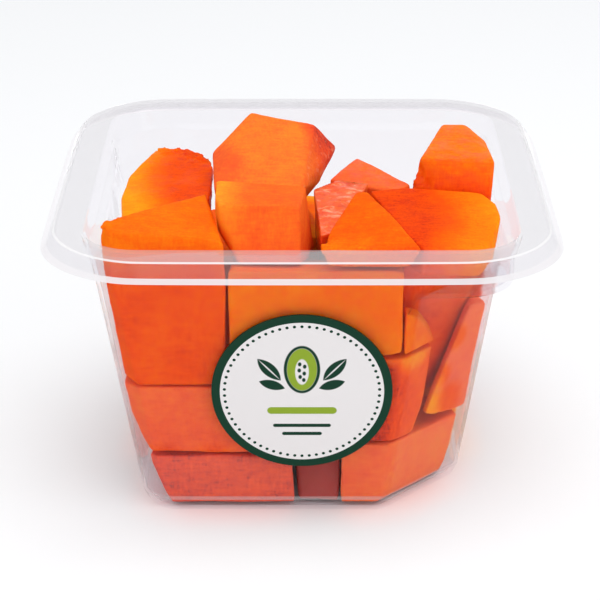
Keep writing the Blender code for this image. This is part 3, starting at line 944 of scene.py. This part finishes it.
# %% Ways to join masks
def both(tree, first, second):
    return maths(tree, "MULTIPLY", first, second)


def either(tree, *masks):
    total = masks[0]
    for mask in masks[1:]:
        total = maths(tree, "MAXIMUM", total, mask)
    return total


def without(tree, first, second):
    return maths(tree, "MULTIPLY", first, maths(tree, "SUBTRACT", 1.0, second))


print("ways to join masks ready")


# %% Printed shapes
def oval(tree, flat, x, y, half_width, half_height):
    return use_group(tree, PRINTED_OVAL, {
        "Vector": flat, "Centre": (x, y, 0), "Half width": half_width, "Half height": half_height,
    })["Mask"]


def leaf(tree, flat, x, y, turn, length, width):
    """A leaf is where two large circles overlap."""
    radius = (length ** 2 + width ** 2) / (2 * width)
    shift = radius - width
    way = math.radians(turn)
    side = (math.cos(way) * shift, -math.sin(way) * shift)
    return both(tree, oval(tree, flat, x + side[0], y + side[1], radius, radius),
                oval(tree, flat, x - side[0], y - side[1], radius, radius))


def bar(tree, flat, y, half_length, half_height):
    """A level bar on the middle line, with round ends."""
    parts = node(tree, "SeparateXYZ", {0: flat}).outputs
    up = maths(tree, "ABSOLUTE", maths(tree, "SUBTRACT", parts["Y"], y))
    inside = both(tree, maths(tree, "LESS_THAN", maths(tree, "ABSOLUTE", parts["X"]), half_length),
                  maths(tree, "LESS_THAN", up, half_height))
    return either(tree, inside, oval(tree, flat, -half_length, y, half_height, half_height),
                  oval(tree, flat, half_length, y, half_height, half_height))


print("shapes ready: oval, leaf, bar")

# %% Ring of dots and fruit between leaves
DOTS, DOT_RING, DOT_SIZE = 66, 0.855, 0.018
RING_INSIDE = 0.905
SEEDS = ((-0.025, 0.37), (0.03, 0.34), (-0.03, 0.29), (0.025, 0.25), (-0.02, 0.205), (0.02, 0.165))
LARGE_LEAVES = ((-0.36, 0.30, -42), (0.36, 0.30, 42))
SMALL_LEAVES = ((-0.33, 0.10, -72), (0.33, 0.10, 72))


def ring_and_dots(tree, flat):
    parts = node(tree, "SeparateXYZ", {0: flat}).outputs
    radius = node(tree, "VectorMath", {0: flat}, operation="LENGTH").outputs["Value"]
    angle = maths(tree, "ARCTAN2", parts["Y"], parts["X"])
    turn = maths(tree, "FRACT", maths(tree, "MULTIPLY", angle, DOTS / math.tau))
    sideways = swing(tree, turn, DOT_RING * math.tau / DOTS)
    inwards = maths(tree, "SUBTRACT", radius, DOT_RING)
    squares = maths(tree, "ADD", both(tree, sideways, sideways), both(tree, inwards, inwards))
    dots = maths(tree, "LESS_THAN", maths(tree, "SQRT", squares), DOT_SIZE)
    return either(tree, maths(tree, "GREATER_THAN", radius, RING_INSIDE), dots)


def veined_leaves(tree, flat):
    large = [leaf(tree, flat, *place, 0.19, 0.075) for place in LARGE_LEAVES]
    small = [leaf(tree, flat, *place, 0.15, 0.06) for place in SMALL_LEAVES]
    veins = [leaf(tree, flat, *place, 0.17, 0.008) for place in LARGE_LEAVES]
    return without(tree, either(tree, *large, *small), either(tree, *veins))


def fruit_inks(tree, flat):
    """Masks of the cut fruit's dark skin and seeds, and of its lighter flesh."""
    fruit = oval(tree, flat, 0.0, 0.30, 0.20, 0.31)
    flesh = oval(tree, flat, 0.0, 0.30, 0.165, 0.275)
    hollow = oval(tree, flat, 0.0, 0.27, 0.075, 0.165)
    seeds = either(tree, *[oval(tree, flat, x, y, 0.02, 0.027) for x, y in SEEDS])
    return either(tree, without(tree, fruit, flesh), seeds), without(tree, flesh, hollow)


print("dots:", DOTS, "seeds:", len(SEEDS))

# %% Sticker print
GREEN_INK = (0.003, 0.038, 0.019, 1)
OLIVE_INK = (0.265, 0.38, 0.030, 1)
FIELD = (0.80, 0.77, 0.765, 1)
PAPER_SHADE = (0.70, 0.68, 0.69, 1)


def sticker_material():
    material, tree, shader = new_material("printed sticker")
    flat = node(tree, "UVMap", uv_map="print").outputs[0]
    skin_and_seeds, flesh = fruit_inks(tree, flat)
    green = either(tree, ring_and_dots(tree, flat), skin_and_seeds, veined_leaves(tree, flat),
                   bar(tree, flat, -0.44, 0.30, 0.022), bar(tree, flat, -0.55, 0.20, 0.022))
    olive = either(tree, flesh, bar(tree, flat, -0.24, 0.34, 0.045))
    paper = noise(tree, flat, 60.0, 3.0)
    field = mix_colours(tree, maths(tree, "MULTIPLY", paper, 0.12), FIELD, PAPER_SHADE)
    inked = mix_colours(tree, green, mix_colours(tree, olive, field, OLIVE_INK), GREEN_INK)
    plug(tree, inked, shader.inputs["Base Color"])
    dull = maths(tree, "ADD", maths(tree, "MULTIPLY", green, -0.08), 0.42)
    plug(tree, dull, shader.inputs["Roughness"])
    shader.inputs["Specular IOR Level"].default_value = 0.12
    plug(tree, bump_of(tree, paper, 0.15, 0.05 * MM), shader.inputs["Normal"])
    return material


hand_over(sticker, "label", sticker_material())
print("sticker done:", sticker.name)

# %% [markdown]
# ## Floor and light
#
# The tub stands on a plain, nearly white floor in soft studio light. One wide lamp hangs
# above, and two weaker ones stand at the front left and right. A wide, low one behind is the
# white wall that the flange mirrors. The pale world fills the shadows, so that the floor stays
# almost white around the foot.

# %% Floor
FLOOR_COLOUR = (0.965, 0.97, 0.968, 1)

bpy.ops.object.select_all(action="DESELECT")
bpy.ops.mesh.primitive_plane_add(size=6, location=(0, 0, 0))
floor = bpy.context.object
floor.name = "floor"
floor_material, floor_tree, floor_shader = new_material("pale floor")
floor_shader.inputs["Base Color"].default_value = FLOOR_COLOUR
floor_shader.inputs["Roughness"].default_value = 0.7
floor.data.materials.append(floor_material)
print("floor", tuple(round(value, 1) for value in floor.dimensions))


# %% Lamps and world
def soft_lamp(name, place, target, size, watts):
    bpy.ops.object.light_add(type="AREA", location=place)
    lamp = bpy.context.object
    lamp.name = name
    lamp.data.shape = "RECTANGLE"
    lamp.data.size, lamp.data.size_y = size
    lamp.data.energy = watts
    lamp.rotation_euler = (Vector(target) - Vector(place)).to_track_quat("-Z", "Y").to_euler()
    print(name, watts, "W")


soft_lamp("lamp above", (0.15, -0.28, 1.2), (0, 0, 0), (1.4, 1.2), 8.6)
soft_lamp("white wall behind", (0.0, 2.5, 1.1), (0, 0, 0.1), (3.0, 1.2), 2.5)
soft_lamp("lamp front left", (-0.9, -1.0, 0.7), (0, 0, 0.05), (0.7, 0.7), 1.1)
soft_lamp("lamp front right", (0.9, -1.1, 0.6), (0, 0, 0.05), (0.7, 0.7), 2.3)

world = bpy.data.worlds.new("studio")
bpy.context.scene.world = world
world.use_nodes = True
world.node_tree.nodes["Background"].inputs["Color"].default_value = (0.96, 0.97, 1.0, 1)
world.node_tree.nodes["Background"].inputs["Strength"].default_value = 0.66
bpy.context.scene.view_settings.view_transform = "Standard"
